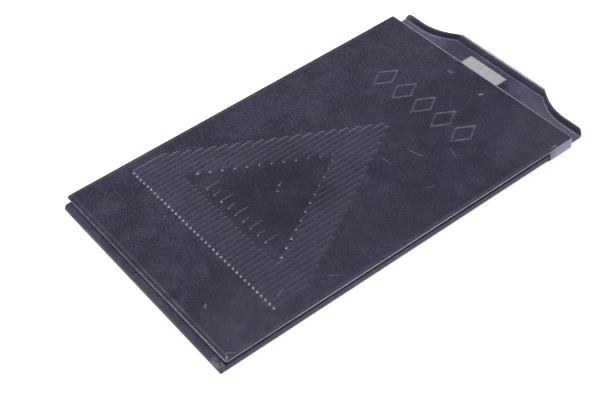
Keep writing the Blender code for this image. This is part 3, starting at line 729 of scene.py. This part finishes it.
def back_lacquer():
    """Lacquer of the back sheet: worn on its hem, its ends and at one corner, with painted highlights
    on these edges, the near ridge, the far cut edge and a crease, and painted reflection on its block
    walls and a band inside the long hems.
    """
    n = lacquer("back_lacquer", (0.0245, 0.0230, 0.050), (0.16, 0.15, 0.20), 0.20, 1.0)
    crest = window(n, 2, BACK_TOP + 0.07, BACK_TOP + 1.0, 0.05)
    overlay_wear_and_light(n, crest, (0.056, 0.053, 0.090), 0.65)
    stroke = n.add("ShaderNodeAttribute", attribute_name="stroke").outputs["Fac"]
    # worn crests of the bars and rhombi, made bright enough to stand in as painted highlights too
    overlay_wear_and_light(n, n.ramp(stroke, 0.80, 1.0), (0.20, 0.195, 0.26), 0.7, 0.15)
    plain = window(n, 1, NEAR + 28.0, NEAR + 54.0, 5.0)
    plain = n.math("MULTIPLY", window(n, 0, -11.0, 11.0, 5.0), plain)
    overlay_wear_and_light(n, plain, (0.010, 0.009, 0.022), 0.75)
    # painted reflection: a paler band just inside the hem of both long sides, up to the block, where
    # the sheet bevels down
    strip = n.ramp(n.math("ABSOLUTE", n.place[0]), 33.85 * MM, 34.1 * MM)
    strip = n.math("MULTIPLY", strip, window(n, 1, NEAR, NEAR + BLOCK_Y, 0.3))
    overlay_wear_and_light(n, strip, (0.070, 0.067, 0.10), 0.8, 0.3)
    steep = steepness(n, math.radians(28), math.radians(55))
    side = n.ramp(n.math("ABSOLUTE", n.place[0]), (FOLD_LINE - 0.1) * MM, (FOLD_LINE + 0.05) * MM)
    ends = n.math("SUBTRACT", 1.0, window(n, 1, NEAR + 0.25, NEAR + BACK_L - 0.1, 0.1))
    hem = n.math("MULTIPLY", side, window(n, 1, NEAR - 1.0, NEAR + BLOCK_Y - 0.15, 0.03))
    # worn hem and end edges, also painted highlights: the bright line along each edge is painted into
    # the colour, dimmer on the ends
    overlay_wear_and_light(n, n.math("MULTIPLY", hem, steep), (0.36, 0.35, 0.44), 1.0, 0.8)
    overlay_wear_and_light(n, n.math("MULTIPLY", ends, steep), (0.27, 0.265, 0.36), 1.0, 0.8)
    # painted reflection: the block walls are made paler and bluer, fading in over their first few
    # millimetres
    wall = n.ramp(n.place[1], (NEAR + BLOCK_Y - 0.5) * MM, (NEAR + BLOCK_Y + 3.4) * MM)
    wall = n.math("MULTIPLY", n.math("MULTIPLY", wall, side), steep)
    overlay_wear_and_light(n, wall, (0.225, 0.225, 0.345), 1.0, 0.85)
    # painted highlight along the ridge that the hem prints near the near edge
    fold = window(n, 1, NEAR + 0.95, NEAR + 1.5, 0.2)
    overlay_wear_and_light(n, fold, (0.075, 0.072, 0.115), 0.5)
    # painted highlight along the far cut edge
    far_edge_highlight = window(n, 1, NEAR + BACK_L - 0.28, NEAR + BACK_L + 1.0, 0.05)
    overlay_wear_and_light(n, far_edge_highlight, (0.40, 0.39, 0.50), 1.0, 0.7)
    # paler towards the right side, most towards the two ends
    paler_right = n.ramp(n.place[0], 8.0 * MM, 33.0 * MM)
    outer = n.math("SUBTRACT", 1.0, window(n, 1, NEAR + 20.0, NEAR + 92.0, 9.0))
    paler_right = n.math("MULTIPLY", paler_right, n.math("ADD", 0.25, n.math("MULTIPLY", outer, 0.75)))
    overlay_wear_and_light(n, paler_right, (0.062, 0.060, 0.088), 0.55)
    dusty = n.ramp(n.place[0], -20.0 * MM, 12.0 * MM, 1.0, 0.0)
    grains = n.ramp(n.noise(0.55, 3.0, 0.8), 0.51, 0.62)
    overlay_wear_and_light(n, n.math("MULTIPLY", dusty, grains), (0.15, 0.145, 0.21), 0.36)
    for x, y, turn, length, width, strength in SCUFFS_AND_GLINT:
        overlay_wear_and_light(n, streak_mark(n, x, y, turn, length, width), (0.42, 0.40, 0.47), strength)
    return n


SLIDE_DARK = (0.034, 0.032, 0.060)  # darker tone of the slide inside the holder and beneath: painted shade beside the pull's lifted, painted-light colour


def slide_lacquer():
    """Lacquer of the dark slide: base colour lifted paler as painted light, painted highlights along
    the pull's fold at the ears and along its lip, painted shade on the rim's wall and where the slide
    lies inside the holder.
    """
    # painted light: the base colour is lifted well above the back's lacquer, so the pull still reads
    # pale where the back and the rim shade it
    n = lacquer("slide_lacquer", (0.078, 0.078, 0.136), (0.18, 0.18, 0.23), 0.28, 0.6)
    floor_z = SLIDE_UNDER + SLIDE_T
    ears = n.ramp(n.math("ABSOLUTE", n.place[0]), 16.0 * MM, 18.0 * MM)
    # painted shade on the rim's inner wall, a little less at the ears
    wall = window(n, 2, floor_z + 0.2, RIM_TOP - 0.45, 0.12)
    overlay_wear_and_light(n, wall, (0.062, 0.058, 0.094), 0.9)
    overlay_wear_and_light(n, n.math("MULTIPLY", wall, ears), (0.070, 0.067, 0.098), 0.8)
    # painted shade: the slide inside the holder and its underside get the darker tone
    pulled = n.ramp(n.place[1], (NEAR + BACK_L - 2.5) * MM, (NEAR + BACK_L - 1.5) * MM, 1.0, 0.0)
    bottom = window(n, 2, SLIDE_UNDER - 1.0, floor_z - 0.1, 0.05)
    for hidden in (pulled, bottom):
        overlay_wear_and_light(n, hidden, SLIDE_DARK, 0.8, 0.8)
    # painted light on the pull's floor towards the ears, where the rim and the back's edge shade it
    floor = window(n, 2, floor_z - 0.1, floor_z + 0.01, 0.02)
    sides = n.ramp(n.math("ABSOLUTE", n.place[0]), 15.0 * MM, 29.0 * MM)
    overlay_wear_and_light(n, n.math("MULTIPLY", floor, sides), (0.118, 0.117, 0.185), 0.8)
    # painted highlight along the fold at the ears
    fold = window(n, 2, floor_z + 0.02, floor_z + 0.2, 0.03)
    overlay_wear_and_light(n, n.math("MULTIPLY", fold, ears), (0.31, 0.31, 0.40), 1.0, 0.8)
    # painted highlight along the lip of the straight middle
    lip = window(n, 2, RIM_TOP - 0.22, RIM_TOP + 1.0, 0.06)
    straight = n.math("SUBTRACT", 1.0, ears)
    overlay_wear_and_light(n, n.math("MULTIPLY", lip, straight), (0.30, 0.30, 0.38), 0.9, 0.8)
    bend = window(n, 2, floor_z - 0.05, floor_z + 0.4, 0.05)
    bend = n.math("MULTIPLY", bend, steepness(n, math.radians(5), math.radians(14)))
    dull = n.math("MULTIPLY", n.math("MULTIPLY", bend, straight), -0.3)
    n.feed(n.bsdf.inputs["Specular IOR Level"], n.math("ADD", dull, 0.5))
    return n


def channel_lacquer():
    """Lacquer of the channels: painted shade on the upper outer side faces and the near face, scuffed
    at the near corner.
    """
    n = lacquer("channel_lacquer", (0.050, 0.047, 0.092), (0.16, 0.16, 0.20), 0.34, 1.0)
    n.bsdf.inputs["Specular IOR Level"].default_value = 0.3
    steep = steepness(n, math.radians(20), math.radians(45))
    side = n.ramp(n.math("ABSOLUTE", n.place[0]), 34.6 * MM, 34.9 * MM)
    # painted shade on the upper outer side faces, against the glowing floor's reflection
    upper = n.math("MULTIPLY", n.math("MULTIPLY", steep, side), window(n, 2, 1.7, 3.0, 0.5))
    overlay_wear_and_light(n, upper, (0.010, 0.009, 0.016))
    # painted shade on the near face, with its specular turned down too
    shaded_near_face = n.math("MULTIPLY", steep, window(n, 1, NEAR - 2.5, NEAR - 1.3, 0.1))
    overlay_wear_and_light(n, shaded_near_face, (0.012, 0.011, 0.018))
    dull = n.math("MULTIPLY", shaded_near_face, -0.26)
    n.feed(n.bsdf.inputs["Specular IOR Level"], n.math("ADD", dull, 0.3))
    corner = window(n, 1, NEAR - 1.85, NEAR - 0.35, 0.12)
    corner = n.math("MULTIPLY", window(n, 0, 31.5, 34.9, 0.7), corner)
    streak = n.ramp(n.noise(1.0, 3.0, 0.7, n.scaled((1 / 1.6, 1 / 0.24, 1.0))), 0.50, 0.60)
    overlay_wear_and_light(n, n.math("MULTIPLY", corner, streak), (0.44, 0.44, 0.56), 0.9, 0.4)
    return n


def bare_steel(name, base, roughness, grain_turn):
    """Bare metal with a rolled grain and faint stains."""
    n = Nodes(name)
    grain = n.noise(1.0, 3.0, 0.6, n.scaled((1 / 0.06, 1 / 2.5, 1 / 0.06), grain_turn))
    stain = n.noise(2.2, 4.0, 0.6)
    speckle = n.noise(0.22, 2.0, 0.7)
    tone = n.mix(n.ramp(grain, 0.3, 0.7), (*(c * 0.82 for c in base), 1.0), (*base, 1.0))
    tone = n.mix(n.ramp(speckle, 0.42, 0.60, 0.35, 0.0), tone, (*(c * 0.5 for c in base), 1.0))
    tone = n.mix(n.ramp(stain, 0.45, 0.8, 0.0, 0.35), tone, (0.30, 0.29, 0.26, 1.0))
    n.feed(n.bsdf.inputs["Base Color"], tone)
    n.bsdf.inputs["Metallic"].default_value = 0.85
    n.feed(n.bsdf.inputs["Roughness"], n.ramp(grain, 0.2, 0.8, roughness, roughness + 0.14))
    n.feed(n.bsdf.inputs["Normal"], n.bump(grain, 0.25, 0.01))
    return n


def velvet(name):
    """Short black pile."""
    n = Nodes(name)
    pile = n.noise(0.16, 2.0, 0.6)
    tone = n.mix(pile, (0.006, 0.006, 0.008, 1.0), (0.03, 0.028, 0.034, 1.0))
    n.feed(n.bsdf.inputs["Base Color"], tone)
    n.bsdf.inputs["Roughness"].default_value = 0.95
    n.bsdf.inputs["Sheen Weight"].default_value = 0.6
    n.feed(n.bsdf.inputs["Normal"], n.bump(pile, 0.8, 0.06))
    return n


def set_material(obj, n):
    """Give an object one material."""
    obj.data.materials.clear()
    obj.data.materials.append(n.material)


def trimmed_strip(name, node, axis, end_mm, trims, look):
    """A strip's mesh again, with its end below end_mm on an axis cut short."""
    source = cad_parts[node].data
    points = np.array([v.co for v in source.vertices]) / MM
    height = (points[:, 2] - points[:, 2].min()) / np.ptp(points[:, 2])
    shift = trims[0] + (trims[1] - trims[0]) * height
    points[:, axis] += np.where(points[:, axis] < end_mm, shift, 0.0)
    faces = [tuple(p.vertices) for p in source.polygons]
    strip = mesh_object(name, points, faces, "holder")
    strip.data.set_sharp_from_angle(angle=math.radians(30))
    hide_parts(node)
    set_material(strip, look)
    soften(strip, 0.1)


def dress_nodes():
    """Materials and softened edges of the CAD nodes that stay in view."""
    shell = channel_lacquer()
    trimmed_strip("near_strip", "slide_channel_end", 0, -30.0, NEAR_STRIP_TRIM, shell)
    trimmed_strip("left_strip", "slide_channel_left", 1, NEAR + 1.0, LEFT_STRIP_TRIM, shell)
    inner = lacquer("inner_lacquer", (0.014, 0.013, 0.020), (0.12, 0.12, 0.14), 0.42, 0.4)
    steel = bare_steel("spring_steel", (0.34, 0.33, 0.32), 0.32, 0.0)
    bright = bare_steel("bright_steel", (0.71, 0.71, 0.70), 0.36, 0.6)
    brass = bare_steel("rolled_brass", (0.55, 0.38, 0.15), 0.34, math.pi / 2)
    pile = velvet("black_velvet")
    looks = {
        "slide_channel_right": shell,
        "trap_cover": shell,
        "pocket_frame": inner,
        "plate_stop": inner,
        "trap_bar": inner,
        "velvet_upper": pile,
        "velvet_lower": pile,
        "velvet_carrier": brass,
        "trap_spring": steel,
        "pressure_spring_left": steel,
        "pressure_spring_right": steel,
        "catch_hook": steel,
        "catch_keeper": steel,
        "plate_catch": bright,
        "catch_rivet_left": bright,
        "catch_rivet_right": bright,
    }
    for node, look in looks.items():
        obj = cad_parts[node]
        set_material(obj, look)
        soften(obj, 0.1 if node.startswith("slide_channel") else 0.05)


def soften(obj, width_mm):
    """Round an object's edges a little."""
    mod = obj.modifiers.new("soft_edges", "BEVEL")
    mod.width = width_mm * MM
    mod.segments = 2
    mod.limit_method = "ANGLE"
    mod.angle_limit = math.radians(35)


# ---------------------------------------------------------------- stage

TARGET = Vector((6.0, NEAR + 43.46, BACK_TOP)) * MM
AZIMUTH, ELEVATION, ROLL = 56.484, 44.982, -6.049
DISTANCE = 320.35 * MM
LENS = 77.25
FLOOR_SIZE = 3.0
LIGHT_DISTANCE = 0.9
FLOOR_GLOW = 0.72
SKY = ((0.0, 2.2), (0.14, 1.8), (0.27, 0.48), (0.75, 0.41))  # (sine of height, brightness)
SKY_TINT = (0.94, 0.93, 1.0)
KEY_FROM = (-0.39, -0.18, 0.90)
FILL_FROM = (0.75, 0.30, 0.60)


def build_camera():
    """Camera by direction, distance and roll about its aim."""
    az, el, roll = (math.radians(a) for a in (AZIMUTH, ELEVATION, ROLL))
    forward = Vector((-math.sin(az) * math.cos(el), math.cos(az) * math.cos(el), -math.sin(el)))
    level_right = forward.cross(Vector((0, 0, 1))).normalized()
    level_up = level_right.cross(forward)
    right = level_right * math.cos(roll) + level_up * math.sin(roll)
    up = right.cross(forward)
    turn = Matrix((right, up, -forward)).transposed().to_4x4()
    data = bpy.data.cameras.new("camera")
    data.lens = LENS
    data.sensor_width = 36.0
    data.clip_start = 0.01
    camera = bpy.data.objects.new("camera", data)
    camera.matrix_world = Matrix.Translation(TARGET - forward * DISTANCE) @ turn
    bpy.context.scene.collection.objects.link(camera)
    bpy.context.scene.camera = camera


def area_light(name, direction, size, power, colour):
    """A softbox that faces the holder from a direction."""
    data = bpy.data.lights.new(name, "AREA")
    data.shape = "RECTANGLE"
    data.size, data.size_y = size
    data.energy = power
    data.color = colour
    light = bpy.data.objects.new(name, data)
    place = Vector(direction).normalized() * LIGHT_DISTANCE
    light.location = place
    light.rotation_euler = (-place).to_track_quat("-Z", "Y").to_euler()
    bpy.context.scene.collection.objects.link(light)
    return light


def build_stage():
    """White glowing floor, a sky that is bright low down, and soft lights."""
    mesh = bpy.data.meshes.new("floor")
    half = FLOOR_SIZE / 2
    corners = [(-half, -half, 0), (half, -half, 0), (half, half, 0), (-half, half, 0)]
    mesh.from_pydata(corners, [], [(0, 1, 2, 3)])
    floor = bpy.data.objects.new("floor", mesh)
    floor.location = (0, 0, -0.00005)
    bpy.context.scene.collection.objects.link(floor)
    n = Nodes("white_floor")
    tone = n.ramp(n.noise(90.0, 2.0), 0.3, 0.7, 0.78, 0.82)
    colour = n.add("ShaderNodeCombineColor", Red=tone, Green=tone, Blue=tone)
    n.feed(n.bsdf.inputs["Base Color"], colour.outputs[0])
    n.bsdf.inputs["Roughness"].default_value = 0.9
    n.bsdf.inputs["Emission Color"].default_value = (1.0, 1.0, 1.0, 1.0)
    n.bsdf.inputs["Emission Strength"].default_value = FLOOR_GLOW
    set_material(floor, n)
    world = bpy.data.worlds.new("surroundings")
    bpy.context.scene.world = world
    world.use_nodes = True
    tree = world.node_tree
    background = tree.nodes["Background"]
    background.inputs["Strength"].default_value = 1.0
    split = tree.nodes.new("ShaderNodeSeparateXYZ")
    tree.links.new(tree.nodes.new("ShaderNodeTexCoord").outputs["Generated"], split.inputs[0])
    ramp = tree.nodes.new("ShaderNodeValToRGB")
    tree.links.new(split.outputs[2], ramp.inputs[0])
    stops = ramp.color_ramp.elements
    while len(stops) < len(SKY):
        stops.new(0.5)
    for stop, (height, brightness) in zip(stops, SKY):
        stop.position = height
        stop.color = (*(brightness * c for c in SKY_TINT), 1.0)
    tree.links.new(ramp.outputs[0], background.inputs["Color"])
    key = area_light("key", KEY_FROM, (0.22, 0.22), 3.0, (1.0, 0.99, 1.0))
    key.visible_glossy = False
    glint = area_light("glint", KEY_FROM, (0.36, 0.36), 8.0, (1.0, 0.99, 1.0))
    glint.visible_diffuse = False
    area_light("fill", FILL_FROM, (0.4, 0.3), 1.6, (0.96, 0.96, 1.0))
    scene = bpy.context.scene
    scene.view_settings.view_transform = "Standard"


build_camera()
build_stage()
dress_nodes()
back = build_back()
slide = build_slide()
set_material(back, back_lacquer())
set_material(slide, slide_lacquer())
build_bow_spring()
